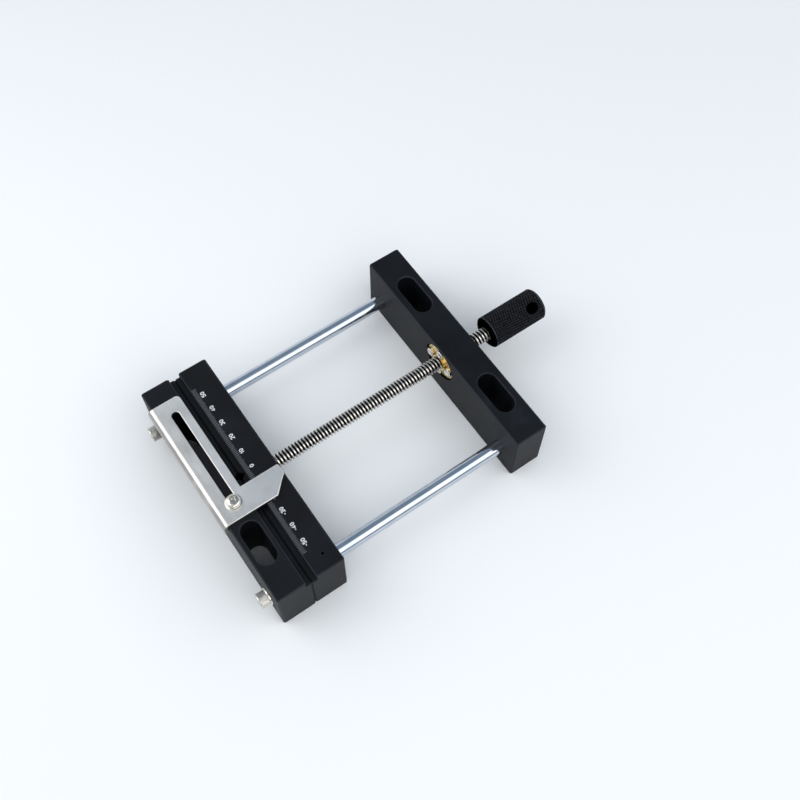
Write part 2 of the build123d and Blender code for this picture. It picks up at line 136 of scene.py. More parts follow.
# %% [markdown]
# A part is worked out along its own X axis and then moved to where it belongs. Three directions at right
# angles are the rows of the matrix that turns it, so nothing is stretched or turned inside out.

# %% Move and join parts
TO_REAR, TO_FRONT, UP = (1, 0, 0), (-1, 0, 0), (0, 0, 1)


def placed(part, origin, along, up=UP):
    """The part moved to origin, with its X axis along the given direction."""
    x = Vector(along).normalized()
    y = Vector(up).cross(x).normalized()
    points, quads, triangles = part
    return points @ np.array([x, y, x.cross(y)]) + np.array(origin), quads, triangles


def joined(parts):
    """Several parts as one, with the point numbers in each part's faces moved along."""
    first = np.cumsum([0] + [len(part[0]) for part in parts[:-1]])
    quads = np.concatenate([part[1] + start for part, start in zip(parts, first)])
    triangles = np.concatenate([part[2] + start for part, start in zip(parts, first)])
    return np.concatenate([part[0] for part in parts]), quads, triangles


print("two pins joined have", len(joined([plain_pin, plain_pin])[0]), "points")

# %% [markdown]
# A closed mesh is one where every edge joins exactly two faces. Renderers forgive a gap, but a boolean
# cut or a 3-D printer doesn't, so each piece is welded and its open edges are counted. A boolean leaves
# slivers a thousandth of a millimetre long, which need the coarser weld.

# %% From a part to a piece of the vise
FINE_WELD, COARSE_WELD = 0.0002 * MM, 0.001 * MM


def new_object(name, part):
    """A mesh object made of a part's points and faces."""
    mesh = bpy.data.meshes.new(name)
    mesh.from_pydata(part[0].tolist(), [], part[1].tolist() + part[2].tolist())
    made = bpy.data.objects.new(name, mesh)
    bpy.context.scene.collection.objects.link(made)
    return made


def weld(mesh, distance=COARSE_WELD):
    """Merges points closer than distance, drops faces without area and turns every face outwards."""
    shape = bmesh.new()
    shape.from_mesh(mesh)
    bmesh.ops.remove_doubles(shape, verts=shape.verts, dist=distance)
    bmesh.ops.dissolve_degenerate(shape, dist=distance / 2, edges=shape.edges)
    bmesh.ops.recalc_face_normals(shape, faces=shape.faces)
    shape.to_mesh(mesh)
    shape.free()


def finish_piece(piece, body, replaced=(), smooth_angle=30, distance=FINE_WELD):
    """Welds and smooths a piece, then tells the frame what it rides on and what it stands for."""
    weld(piece.data, distance)
    piece.data.shade_smooth()
    piece.data.set_sharp_from_angle(angle=radians(smooth_angle))
    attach(piece, body)
    if replaced:
        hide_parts(*replaced)
    edge_of_corner = np.empty(len(piece.data.loops), int)
    piece.data.loops.foreach_get("edge_index", edge_of_corner)
    faces_at_edge = np.bincount(edge_of_corner, minlength=len(piece.data.edges))
    open_edges = np.count_nonzero(faces_at_edge != 2)
    print(piece.name, "has", len(piece.data.polygons), "faces and", open_edges, "edges that don't join two")


print("welds in mm: fine", round(FINE_WELD / MM, 4), "and coarse", round(COARSE_WELD / MM, 4))

# %% [markdown]
# Holes that cross a pattern, and joints between unlike shapes, are left to the Boolean modifier with
# the exact solver. Its result is made the piece's own mesh at once, so nothing is left to work out later.

# %% Cut, join and keep what is shared
def combine(piece, operation, part):
    """Cuts a closed part from a piece, adds it on, or keeps only what both share."""
    tool = new_object("tool", part)
    modifier = piece.modifiers.new("combine", "BOOLEAN")
    modifier.operation = operation
    modifier.solver = "EXACT"
    modifier.object = tool
    solved = piece.evaluated_get(bpy.context.evaluated_depsgraph_get())
    mesh = bpy.data.meshes.new_from_object(solved)
    piece.modifiers.clear()
    piece.data = mesh
    bpy.data.objects.remove(tool)
    print(operation, "leaves", piece.name, "with", len(mesh.polygons), "faces")


# %% [markdown]
# The two guide rods are ground steel bars plated with hard chrome. They show a small chamfer at the rear
# block's outer face. In front they are drilled and tapped for the screws that hold them to the fixed jaw,
# so the profile starts at the bottom of that hole and comes out round the rod's end.

# %% Guide rods
rod_radius = 4.0 * MM
rod_chamfer = 0.5 * MM
rod_tap_radius = 2.55 * MM
rod_tap_depth = 13.0 * MM
rod_length = left_rod_high.x - left_rod_low.x
rod = turned([
    (rod_tap_depth, rod_tap_radius),
    (0, rod_tap_radius),
    (0, rod_radius),
    (rod_length - rod_chamfer, rod_radius),
    (rod_length, rod_radius - rod_chamfer),
], poles=(rod_tap_depth, rod_length), columns=128)
left_rod = new_object("left_rod", placed(rod, (left_rod_low.x, rod_y, rod_z), TO_REAR))
right_rod = new_object("right_rod", placed(rod, (left_rod_low.x, -rod_y, rod_z), TO_REAR))
finish_piece(left_rod, "frame", ["left_guide_rod"])
finish_piece(right_rod, "frame", ["right_guide_rod"])

# %% [markdown]
# The lead screw has a trapezoidal thread: 8 mm across, one turn every 2 mm, with flanks that open at
# 30 degrees. A bump texture would shade a thread but leave its outline straight, so it is real shape.

# %% The thread's section
thread_pitch = 2.0 * MM
thread_radius = 4.0 * MM
thread_depth = 1.25 * MM
thread_easing = 0.08 * MM
flank_angle = radians(15)
crest_share = 0.366
steps_round = 56
journal_length = 13.1 * MM
shoulder_x = screw_low.x + journal_length


def thread_section():
    """(along, radius) pairs across one turn: crest, flank, root and flank, with eased corners."""
    flank = thread_depth * tan(flank_angle)
    crest = crest_share * thread_pitch
    root_start, root_end = crest + flank, thread_pitch - flank
    root_radius, ease = thread_radius - thread_depth, thread_easing
    return np.array([
        (0, thread_radius - ease), (ease, thread_radius),
        (crest - ease, thread_radius), (crest, thread_radius - ease),
        (root_start, root_radius + ease), (root_start + ease, root_radius),
        (root_end - ease, root_radius), (root_end, root_radius + ease),
    ])


thread_turns = (screw_high.x - shoulder_x) / thread_pitch
print("the thread makes", round(thread_turns, 1), "turns between the moving jaw and the handle")

# %% [markdown]
# The thread's grid follows the helix. Its rows go round and its columns cross one turn, and the last
# column of one turn is the first column of the next, so there is no seam. The helix is made too long
# and fades to a plain bar past both ends, and a plain envelope then trims it to its chamfered length.

# %% The thread as a helix
def helix(low_x, high_x):
    """A right-hand thread from before low_x to past high_x.

    Point (i, j) has the angle a = 2 pi i / steps_round. It is at pitch times a / (2 pi) along the axis plus
    the section's along j, and at the section's radius j, which fades to the root's past each end.
    """
    section = thread_section()
    spare = 4 * thread_pitch
    rows = int((high_x - low_x + 2 * spare) / thread_pitch) * steps_round
    turn = np.arange(rows + 1 + steps_round) * (2 * pi / steps_round)
    along = low_x - spare + thread_pitch * turn[:, None] / (2 * pi) + section[:, 0]
    room = np.minimum(along - low_x, high_x - along)
    share = np.clip(2 + room / thread_pitch, 0, 1)
    root_radius = thread_radius - thread_depth
    radius = root_radius + (section[:, 1] - root_radius) * share
    points = np.stack([along, radius * np.cos(turn)[:, None], radius * np.sin(turn)[:, None]], -1)
    edge_line = points[rows + 1 :, 0]
    points = points[: rows + 1].reshape(-1, 3)
    number = np.arange(len(points)).reshape(rows + 1, -1)
    edge = np.concatenate([number[:, 0], len(points) + np.arange(steps_round)])
    strip = np.concatenate([number, edge[steps_round:, None]], 1)
    quads = np.stack([strip[:-1, :-1], strip[1:, :-1], strip[1:, 1:], strip[:-1, 1:]], -1)
    points = np.vstack([points, edge_line])
    poles = [(low_x - spare - thread_pitch, 0, 0), (points[:, 0].max() + thread_pitch, 0, 0)]
    first_ring = np.concatenate([edge[: steps_round + 1], number[0, :0:-1]])
    last_ring = np.concatenate([number[-1], edge[: -steps_round - 1 : -1]])
    triangles = np.vstack([fan(len(points), first_ring), fan(len(points) + 1, last_ring)])
    return np.vstack([points, poles]), quads.reshape(-1, 4), triangles


thread = helix(shoulder_x, screw_high.x)
print("the helix has", len(thread[0]), "points")

# %% [markdown]
# The end in the moving jaw is turned down to a journal with a groove, in which two pins run. So the screw
# pulls and pushes the jaw, yet turns freely in it. The journal goes a little way into the thread's solid
# and the two are made one, so that the whole screw is a single closed mesh.

# %% Lead screw
journal_radius, journal_chamfer = 3.0 * MM, 0.3 * MM
groove_radius = 2.1 * MM
groove_start, groove_end = 4.45 * MM, 7.55 * MM
journal_overlap = 0.4 * MM
over_thread = thread_radius + 0.4 * MM
end_chamfer = 1.15 * MM
envelope = turned([
    (shoulder_x, 2.9 * MM),
    (shoulder_x + 0.05 * MM, 3.3 * MM),
    (shoulder_x + end_chamfer, over_thread),
    (screw_high.x - end_chamfer, over_thread),
    (screw_high.x, 3.25 * MM),
], poles=(shoulder_x, screw_high.x))
journal = turned([
    (0, journal_radius - journal_chamfer),
    (journal_chamfer, journal_radius),
    (groove_start, journal_radius),
    (groove_start, groove_radius),
    (groove_end, groove_radius),
    (groove_end, journal_radius),
    (journal_length + journal_overlap, journal_radius),
], poles=(0, journal_length + journal_overlap))
helix_place = (0, 0, screw_z)
lead_screw = new_object("threaded_screw", placed(thread, helix_place, TO_REAR))
combine(lead_screw, "INTERSECT", placed(envelope, helix_place, TO_REAR))
weld(lead_screw.data)
combine(lead_screw, "UNION", placed(journal, (screw_low.x, 0, screw_z), TO_REAR))
finish_piece(lead_screw, "lead_screw", ["lead_screw"], smooth_angle=40, distance=COARSE_WELD)

# %% [markdown]
# The handle is a steel bar with a diamond knurl: two wheels with slanting teeth are pressed in, and the
# two families of grooves that they leave cross as small pyramids. Each family is a triangle wave of the
# angle plus or minus the length, and the surface stands at the lower of the two. Rows and columns are
# a sixth of the pattern apart, so that the grooves always fall on points of the grid and stay sharp.
# The real pyramids are about 1 mm apart, and are drawn at 1.25 mm so that the picture can show them.

# %% The knurl as a radius
handle_radius = 9.5 * MM
handle_chamfer = 1.2 * MM
handle_length = handle_high.x - handle_low.x
knurl_count = 48
knurl_pitch = 1.25 * MM
knurl_depth = 0.42 * MM
knurl_samples = 6
pyramid_flat = 0.22
knurl_runout = 0.4 * MM


def triangle(phase):
    """A wave that is 0 at each whole number and 1 halfway between."""
    return 1 - np.abs(2 * (phase % 1) - 1)


def knurled_radius(along, angle):
    """The bar's radius less knurl_depth times (1 - height), fading out near both chamfers.

    The height is the lower of two crossing triangle waves over (1 - pyramid_flat), and 1 at most, which
    leaves each pyramid a flat tip.
    """
    round_phase = knurl_count * angle / (2 * pi)
    length_phase = along / knurl_pitch
    height = np.minimum(triangle(round_phase + length_phase), triangle(round_phase - length_phase))
    height = np.minimum(height / (1 - pyramid_flat), 1)
    room = np.minimum(along - handle_chamfer, handle_length - handle_chamfer - along)
    return handle_radius - knurl_depth * (1 - height) * np.clip(room / knurl_runout, 0, 1)


knurl_x = np.arange(handle_chamfer, handle_length - handle_chamfer, knurl_pitch / knurl_samples)
knurl_columns = knurl_count * knurl_samples
knurl_grid = knurled_radius(knurl_x[:, None], angles_of(knurl_columns))
print("the knurl is a grid of", knurl_grid.shape, "points, down to", round(knurl_grid.min() / MM, 2), "mm")

# %% [markdown]
# The knurled middle is joined to plain rings for the bore and the two chamfered ends. Each end has two
# small steps that round the chamfer's corners, and the far end is the near one's last three rings, mirrored.

# %% Handle without its holes
bore_radius, bore_depth = 4.05 * MM, 21.5 * MM
rim_radius = handle_radius - handle_chamfer
near_end = [
    (bore_depth, bore_radius),
    (0, bore_radius),
    (0, rim_radius - 0.25 * MM),
    (0.08 * MM, rim_radius),
    (handle_chamfer - 0.15 * MM, handle_radius - 0.12 * MM),
]
far_end = [(handle_length - along, radius) for along, radius in near_end[:1:-1]]
near_x, near_radius = carried_round(near_end, knurl_columns)
far_x, far_radius = carried_round(far_end, knurl_columns)
handle_x = np.vstack([near_x, np.repeat(knurl_x[:, None], knurl_columns, 1), far_x])
handle_grid = np.vstack([near_radius, knurl_grid, far_radius])
handle_part = rings(handle_x, handle_grid, (bore_depth, handle_length))
handle = new_object("knurled_handle", placed(handle_part, (handle_low.x, 0, screw_z), TO_REAR))
print("the handle is", round(handle_length / MM, 2), "mm long and has", len(handle.data.vertices), "points")

# %% [markdown]
# The tommy bar's hole and the grub screw's hole fall wherever they like on the pattern, so they are cut
# afterwards. The tommy hole is countersunk at both mouths, which keeps the bar from burring the knurl.

# %% Handle
tommy_radius, tommy_mouth, mouth_depth = 3.0 * MM, 3.95 * MM, 1.1 * MM
grub_radius, hole_inset = 1.55 * MM, 8 * MM
reach = handle_radius + 1 * MM
handle_turn = radians(32)
out_of_handle = (0, -sin(handle_turn), cos(handle_turn))
tommy_hole = turned([
    (-reach, tommy_mouth + 1 * MM),
    (-handle_radius + mouth_depth, tommy_radius),
    (handle_radius - mouth_depth, tommy_radius),
    (reach, tommy_mouth + 1 * MM),
], poles=(-reach, reach), columns=64)
grub_hole = turned([(0, grub_radius), (reach, grub_radius)], poles=(0, reach), columns=40)
tommy_place = (handle_high.x - hole_inset, 0, screw_z)
grub_place = (handle_low.x + hole_inset, 0, screw_z)
holes = joined([
    placed(tommy_hole, tommy_place, out_of_handle, TO_REAR),
    placed(grub_hole, grub_place, out_of_handle, TO_REAR),
])
combine(handle, "DIFFERENCE", holes)
finish_piece(handle, "lead_screw", ["handle"], smooth_angle=25, distance=0.0005 * MM)

# %% [markdown]
# The work stop's screw and the nut's four screws are pan heads with a cross recess. The recess could be
# cut as the handle's holes are, but such a head is a height over a disc anyway: a low dome, less a cross
# whose walls lean inwards. Rings and spokes close together keep the sides of the cross straight.

# %% Pan head with a cross recess
recess_lean = 0.30
arm_share, width_share, cone_share = 1.12, 0.30, 0.33
arm_end_lean, cone_lean = 2.2, 0.8
rim_share = 0.55


def cross_depth(u, v, head_radius, depth):
    """The depth of the cross at (u, v): two bars at right angles and a cone where they meet.

    Each goes down one unit for each recess_lean that a point is inside its outline, to depth at most.
    The bars' ends and the cone have walls of their own lean.
    """
    arm, width = head_radius * arm_share, head_radius * width_share
    first_bar = np.minimum(width / 2 - np.abs(v), (arm / 2 - np.abs(u)) / arm_end_lean)
    second_bar = np.minimum(width / 2 - np.abs(u), (arm / 2 - np.abs(v)) / arm_end_lean)
    middle = (arm * cone_share - np.hypot(u, v)) / cone_lean
    return np.clip(np.maximum.reduce([first_bar, second_bar, middle]) / recess_lean, 0, depth)


def cross_screw(head_radius, head_height, shank_radius, length, depth, columns=160, head_rows=56):
    """A pan head screw along X: its head stands on X = 0 and its shank runs to X = -length.

    With s the distance from the axis over the head's radius, the dome's height is the head's height times
    0.55 + 0.45 sqrt(1 - s to the power 3.2), less the cross.
    """
    share = 1 - np.linspace(0, 1, head_rows, endpoint=False) ** 1.25
    angle = angles_of(columns)
    u, v = np.outer(share, np.cos(angle)) * head_radius, np.outer(share, np.sin(angle)) * head_radius
    dome = head_height * (rim_share + (1 - rim_share) * np.sqrt(1 - share**3.2))
    below_x, below_radius = carried_round([
        (-length, shank_radius * 0.7),
        (-length + shank_radius * 0.3, shank_radius),
        (0, shank_radius),
        (0, head_radius * 0.97),
        (head_height * 0.12, head_radius),
    ], columns)
    along = np.vstack([below_x, dome[:, None] - cross_depth(u, v, head_radius, depth)])
    radius = np.vstack([below_radius, np.repeat(share[:, None] * head_radius, columns, 1)])
    cone_depth = head_radius * arm_share * cone_share / (cone_lean * recess_lean)
    return rings(along, radius, (-length, head_height - min(depth, cone_depth)))


print("the recess's walls lean", recess_lean, "sideways for each 1 down")

# %% [markdown]
# The work stop's screw is the larger one. It stands on the washer's top, in the middle of its box.

# %% Work stop's screw
clamp_low, clamp_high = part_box("stop_screw")
stop_x, stop_y = (clamp_low.x + clamp_high.x) / 2, (clamp_low.y + clamp_high.y) / 2
stop_seat = (stop_x, stop_y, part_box("stop_washer")[1].z)
stop_turn = radians(38)
stop_shape = cross_screw(3.8 * MM, 2.7 * MM, shank_radius=1.95 * MM, length=14 * MM, depth=1.6 * MM)
stop_part = placed(stop_shape, stop_seat, UP, (cos(stop_turn), sin(stop_turn), 0))
stop_screw = new_object("clamp_screw", stop_part)
finish_piece(stop_screw, "stop_screw", ["stop_screw"], smooth_angle=35)

# %% [markdown]
# Four smaller ones hold the brass nut's flange in its pocket, round its hub, which stands out a little.
# Nobody lines up the crosses of screws when they are driven home, so each has a turn of its own.

# %% Screws of the nut's flange
hub_height = 1.5 * MM
flange_face_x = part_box("lead_nut")[0].x + hub_height
screw_circle = 8.0 * MM
first_turn, turn_step = 0.4, 1.3
flange_shape = cross_screw(
    2.7 * MM, 2.0 * MM, shank_radius=1.5 * MM, length=10.5 * MM, depth=1.2 * MM, columns=120, head_rows=40
)
flange_parts = []
for quarter in range(4):
    around = quarter * pi / 2
    place = (flange_face_x, screw_circle * cos(around), screw_z + screw_circle * sin(around))
    turn = first_turn + turn_step * quarter
    flange_parts.append(placed(flange_shape, place, TO_FRONT, (0, sin(turn), cos(turn))))
flange_screws = new_object("flange_screws", joined(flange_parts))
finish_piece(flange_screws, "frame", ["nut_screws"], smooth_angle=35)

# %% [markdown]
# A cap screw in each rod's end pulls the rod into the fixed jaw. Its tall head is pressed with fine
# flutes, to be turned by hand at first, and has a hexagon socket for the last pull. A hexagon's radius is
# half its width across flats over the cosine of the angle from the nearest flat's middle.

# %% Cap screws in the rods' ends
cap_head_radius, cap_head_height = 4.25 * MM, 5.0 * MM
socket_across_flats, socket_depth = 4.0 * MM, 2.5 * MM
flute_count, flute_depth = 36, 0.12 * MM
rod_screw_radius, rod_screw_length = 2.5 * MM, 16.5 * MM
cap_columns = flute_count * 8
cap_angle = angles_of(cap_columns)
from_flat = (cap_angle + pi / 6) % (pi / 3) - pi / 6
hexagon = socket_across_flats / 2 / np.cos(from_flat)
fluted = cap_head_radius - flute_depth * (0.5 - 0.5 * np.cos(flute_count * cap_angle)) ** 2
socket_mouth = socket_across_flats / 2 / cos(pi / 6)
cap_rows = [
    (-rod_screw_length, 1.9 * MM),
    (-rod_screw_length + 0.6 * MM, rod_screw_radius),
    (0, rod_screw_radius),
    (0, cap_head_radius - 0.25 * MM),
    (0.15 * MM, fluted),
    (cap_head_height - 0.7 * MM, fluted),
    (cap_head_height - 0.45 * MM, cap_head_radius - 0.02 * MM),
    (cap_head_height - 0.12 * MM, cap_head_radius - 0.16 * MM),
    (cap_head_height, cap_head_radius - 0.5 * MM),
    (cap_head_height, socket_mouth + 0.02 * MM),
    (cap_head_height - 0.3 * MM, hexagon),
    (cap_head_height - socket_depth, hexagon),
]
cap_x = np.repeat([[along] for along, _ in cap_rows], cap_columns, 1)
cap_radius = np.array([np.broadcast_to(radius, cap_columns) for _, radius in cap_rows])
socket_bottom = cap_head_height - socket_depth - 0.6 * MM
cap_shape = rings(cap_x, cap_radius, (-rod_screw_length, socket_bottom))
cap_seat_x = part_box("rod_end_washers")[0].x
left_turn, right_turn = (0, 0.48, 0.88), (0, 0.89, 0.45)
rod_screws = new_object("rod_screws", joined([
    placed(cap_shape, (cap_seat_x, rod_y, rod_z), TO_FRONT, left_turn),
    placed(cap_shape, (cap_seat_x, -rod_y, rod_z), TO_FRONT, right_turn),
]))
finish_piece(rod_screws, "frame", ["rod_end_screws"], smooth_angle=30)

# %% [markdown]
# Washers are stamped from sheet, so one edge is a little rounded. That thin rounded edge catches the
# light and is what makes a washer show under a screw head. The thrust ring between the screw's shoulder
# and the moving jaw is made in the same way, and takes the push when the vise is closed.

# %% Washers
def washer(hole_radius, outer_radius, thickness, ease=0.15 * MM):
    """A ring turned from a closed section: a rectangle with its outer corners eased, one of them more."""
    return turned([
        (0, hole_radius),
        (0, outer_radius - ease * 0.5),
        (ease * 0.5, outer_radius),
        (thickness - ease, outer_radius),
        (thickness - ease * 0.3, outer_radius - ease * 0.3),
        (thickness, outer_radius - ease),
        (thickness, hole_radius),
    ])


rod_washer = washer(2.65 * MM, 5.0 * MM, thickness=1.0 * MM)
stop_washer_part = washer(2.1 * MM, 4.5 * MM, thickness=0.8 * MM)
thrust_part = washer(3.15 * MM, 6.0 * MM, thickness=1.0 * MM)
stop_washer_seat = (stop_x, stop_y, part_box("stop_washer")[0].z)
rod_washers = new_object("rod_washers", joined([
    placed(rod_washer, (fixed_low.x, y, rod_z), TO_FRONT) for y in (rod_y, -rod_y)
]))
stop_washer = new_object("clamp_washer", placed(stop_washer_part, stop_washer_seat, UP, TO_REAR))
thrust_ring = new_object("thrust_ring", placed(thrust_part, (jaw_high.x, 0, screw_z), TO_REAR))
finish_piece(rod_washers, "frame", ["rod_end_washers"], smooth_angle=35)
finish_piece(stop_washer, "stop_screw", ["stop_washer"], smooth_angle=35)
finish_piece(thrust_ring, "moving_jaw", ["thrust_washer"], smooth_angle=35)

# %% [markdown]
# The moving jaw's top has a scale burnt white into the black finish: a line each millimetre, and numbers
# from 50 at one end, through 0 in the middle, to -50. Burning marks the surface and adds almost nothing to
# it, so each mark is a flat bar only 0.012 mm proud, sunk nearly as deep so that it can't float.
#
# A line becomes such a bar when each of its points is pushed half the width to either side. At a corner
# the push is along the mean of the two sides and longer, so that the bar keeps its width: a mitre. At a
# sharp corner it would be a long spike, so the mitre's cosine counts as 0.6 at least.

# %% Scale lines
mark_low, mark_high = jaw_high.z - 0.01 * MM, jaw_high.z + 0.012 * MM
tick_start_x = jaw_low.x + 3.55 * MM
tick_width = 0.26 * MM
tick_at_ten, tick_at_five, tick_at_one = 3.0 * MM, 2.6 * MM, 2.2 * MM
least_mitre = 0.6


def flat_bar(line, width):
    """A closed bar along a line in X and Y, as wide as width, between the marks' two heights."""
    ahead = np.diff(line, axis=0)
    ahead /= np.hypot(ahead[:, 0], ahead[:, 1])[:, None]
    before, after = np.vstack([ahead[:1], ahead]), np.vstack([ahead, ahead[-1:]])
    side = np.stack([-(before + after)[:, 1], (before + after)[:, 0]], -1)
    side /= np.hypot(side[:, 0], side[:, 1])[:, None]
    mitre = np.clip(np.abs(side[:, 0] * after[:, 1] - side[:, 1] * after[:, 0]), least_mitre, 1)
    push = side * (width / 2 / mitre)[:, None]
    left, right = line + push, line - push
    height = np.repeat([[mark_low, mark_high, mark_high, mark_low]], len(line), 0)
    section = np.stack([left, left, right, right], 1)
    points = np.concatenate([section, height[..., None]], -1).reshape(-1, 3)
    ends = np.array([(3, 2, 1, 0), np.arange(4) + 4 * (len(line) - 1)])
    return points, np.vstack([grid_quads(len(line), 4), ends]), NO_TRIANGLES


tick_bars = []
for count in range(-55, 56):
    tick = tick_at_ten if count % 10 == 0 else tick_at_five if count % 5 == 0 else tick_at_one
    tick_line = np.array([(tick_start_x, count * MM), (tick_start_x + tick, count * MM)])
    tick_bars.append(flat_bar(tick_line, tick_width))
scale_lines = new_object("scale_lines", joined(tick_bars))
finish_piece(scale_lines, "moving_jaw")

# %% [markdown]
# A font would do for the numbers, but it would be somebody's design. Each digit here is one line of
# straight runs and arcs, as an engraver's cutter would draw it, in a box one wide and one high. The 0
# stops just short of closing, so that its ends don't overlap. The feet of the numbers are towards the
# jaw's face.

# %% Lines of the digits
def arc(centre, size, start, end, count=14):
    """Points about centre, size times (cos a, sin a) from it, with a from start to end in degrees.

    size is a circle's radius, or the two half widths of an ellipse.
    """
    angle = np.radians(np.linspace(start, end, count))
    return np.array(centre) + np.array(size) * np.stack([np.cos(angle), np.sin(angle)], -1)


DIGIT_LINES = {
    "0": arc((0.5, 0.5), 0.5, 90, 436, 28),
    "1": np.array([(0.05, 0.72), (0.42, 1.0), (0.42, 0.0)]),
    "2": np.vstack([arc((0.5, 0.70), (0.48, 0.30), 165, -35), [(0.02, 0.0), (1.0, 0.0)]]),
    "3": np.vstack([
        arc((0.46, 0.75), (0.46, 0.25), 150, -78), arc((0.48, 0.25), (0.50, 0.25), 78, -155),
    ]),
    "4": np.array([(1.0, 0.27), (0.0, 0.27), (0.68, 1.0), (0.68, 0.0)]),
    "5": np.vstack([[(0.92, 1.0), (0.12, 1.0), (0.06, 0.50)], arc((0.47, 0.33), (0.50, 0.33), 128, -155)]),
    "-": np.array([(0.0, 0.46), (0.62, 0.46)]),
}
DIGIT_WIDTHS = {"1": 0.55, "-": 0.62}
print("points along the digits:", {digit: len(line) for digit, line in DIGIT_LINES.items()})

# %% [markdown]
# Each number is centred on its own line, digit by digit. A minus sign would pull the number aside, so the
# numbers below 0 are moved back a little.

# %% Scale numbers
digit_height, digit_width, digit_gap = 1.95 * MM, 1.2 * MM, 0.6 * MM
stroke_width = 0.44 * MM
minus_shift = 0.4 * MM
number_x = jaw_low.x + 7.7 * MM
number_bars = []
for value in range(-50, 51, 10):
    digits = str(value)
    widths = [DIGIT_WIDTHS.get(digit, 1.0) * digit_width for digit in digits]
    start_y = value * MM - (sum(widths) + digit_gap * (len(digits) - 1)) / 2
    start_y -= minus_shift if value < 0 else 0
    for digit, width in zip(digits, widths):
        across, up = DIGIT_LINES[digit].T
        line = np.stack([number_x - (up - 0.5) * digit_height, start_y + across * digit_width], -1)
        number_bars.append(flat_bar(line, stroke_width))
        start_y += width + digit_gap
scale_numbers = new_object("scale_numbers", joined(number_bars))
finish_piece(scale_numbers, "moving_jaw")

# %% [markdown]
# The work stop is a strip of 2 mm stainless sheet with an arm, turned down along the fixed jaw's side in
# a press brake. Sheet can't be bent sharp, so it is round inside and rounder by its own thickness
# outside. The solid's edge is tighter, so the sheet is made here again from three flat outlines. The
# first is its side view. A narrow flat lip on both sides of the bend keeps its smooth shading from
# running into the flats.

# %% Side view of the work stop
sheet_low, sheet_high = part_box("stop_bracket")
sheet_thickness, inner_radius = 2.0 * MM, 1.1 * MM
bend_radius = inner_radius + sheet_thickness
bend_x, bend_z = sheet_low.x + bend_radius, sheet_high.z - bend_radius
spare = 1 * MM
flat_lip = 0.1 * MM
lip_x, lip_z = bend_x + flat_lip, bend_z - flat_lip
inside_x, inside_z = sheet_low.x + sheet_thickness, sheet_high.z - sheet_thickness
side_view = np.vstack([
    [(sheet_low.x, sheet_low.z), (sheet_low.x, lip_z)],
    arc((bend_x, bend_z), bend_radius, 180, 90),
    [(lip_x, sheet_high.z), (sheet_high.x + spare, sheet_high.z)],
    [(sheet_high.x + spare, inside_z), (lip_x, inside_z)],
    arc((bend_x, bend_z), inner_radius, 90, 180),
    [(inside_x, lip_z), (inside_x, sheet_low.z)],
])
print("the bend's arcs are", round(bend_radius / MM, 1), "and", round(inner_radius / MM, 1), "mm in radius")

# %% [markdown]
# From above the plate is the strip over the jaw, with one rounded corner, and the arm beside it, which
# has a long chamfer and a small round. The slot in the strip is two half circles joined by straight sides.

# %% The work stop from above
strip_edge = fixed_high.x - 3.3 * MM
arm_edge = sheet_low.y + 15 * MM
arm_chamfer, arm_round, strip_round = 9 * MM, 1.25 * MM, 2.5 * MM
slot_radius = 2.25 * MM
slot_low_y = sheet_low.y + 6.9 * MM + slot_radius
slot_high_y = sheet_high.y - 8 * MM - slot_radius
view_from_above = np.vstack([
    [(sheet_low.x - spare, sheet_low.y), (sheet_high.x - arm_chamfer, sheet_low.y)],
    [(sheet_high.x, sheet_low.y + arm_chamfer)],
    arc((sheet_high.x - arm_round, arm_edge - arm_round), arm_round, 0, 90),
    [(strip_edge, arm_edge)],
    arc((strip_edge - strip_round, sheet_high.y - strip_round), strip_round, 0, 90),
    [(sheet_low.x - spare, sheet_high.y)],
])
slot_view = np.vstack([
    arc((stop_x, slot_low_y), slot_radius, 180, 360),
    arc((stop_x, slot_high_y), slot_radius, 0, 180),
])
print("the slot's centres are", round((slot_high_y - slot_low_y) / MM, 2), "mm apart")

# %% [markdown]
# Each outline is drawn out into a prism. The side view's prism is the whole bent sheet, the prism of the
# view from above keeps what lies inside the plate's outline, and the slot's prism cuts the slot.

# %% The sheet, bent and cut
def prism(outline, axis, low, high):
    """An outline on two of the axes, drawn out along the third from low to high.

    It is closed by two end faces with all the outline's points, which stand in the part's third array.
    """
    count = len(outline)
    ring = np.arange(count)
    after = np.roll(ring, -1)
    points = np.vstack([np.insert(outline, axis, end, 1) for end in (low, high)])
    walls = np.stack([ring, after, after + count, ring + count], -1)
    return points, walls, np.array([ring[::-1], ring + count])


work_stop = new_object("work_stop", prism(side_view, 1, sheet_low.y - spare, sheet_high.y + spare))
weld(work_stop.data)
for operation, outline, low in (
    ("INTERSECT", view_from_above, sheet_low.z - spare),
    ("DIFFERENCE", slot_view, bend_z),
):
    combine(work_stop, operation, prism(outline, 2, low, sheet_high.z + spare))
    weld(work_stop.data)

# %% [markdown]
# A cut plate is tumbled, which rounds its edges a little. Two more faces along each edge are enough to
# catch the light. The many short edges of the bend and the arcs are left, since they hardly turn.

# %% Work stop
eased_edge = 0.35 * MM


def ease_edges(mesh, width, angle):
    """Rounds every edge where two faces meet at more than the angle."""
    shape = bmesh.new()
    shape.from_mesh(mesh)
    sharp = [edge for edge in shape.edges if edge.calc_face_angle(0) > radians(angle)]
    bmesh.ops.bevel(
        shape, geom=sharp, offset=width, segments=2, profile=0.5, affect="EDGES", clamp_overlap=True
    )
    shape.to_mesh(mesh)
    shape.free()


ease_edges(work_stop.data, eased_edge, angle=40)
finish_piece(work_stop, "stop_bracket", ["stop_bracket"], smooth_angle=20)

# %% [markdown]
# A finish is a small tree of shader nodes. One function adds a node with its settings and links. Another
# turns the hex colours that a painter would write into the linear numbers that light adds up in.
#
# Coordinates are in metres, so a texture's scale of 1000 / d makes features about d millimetres wide.

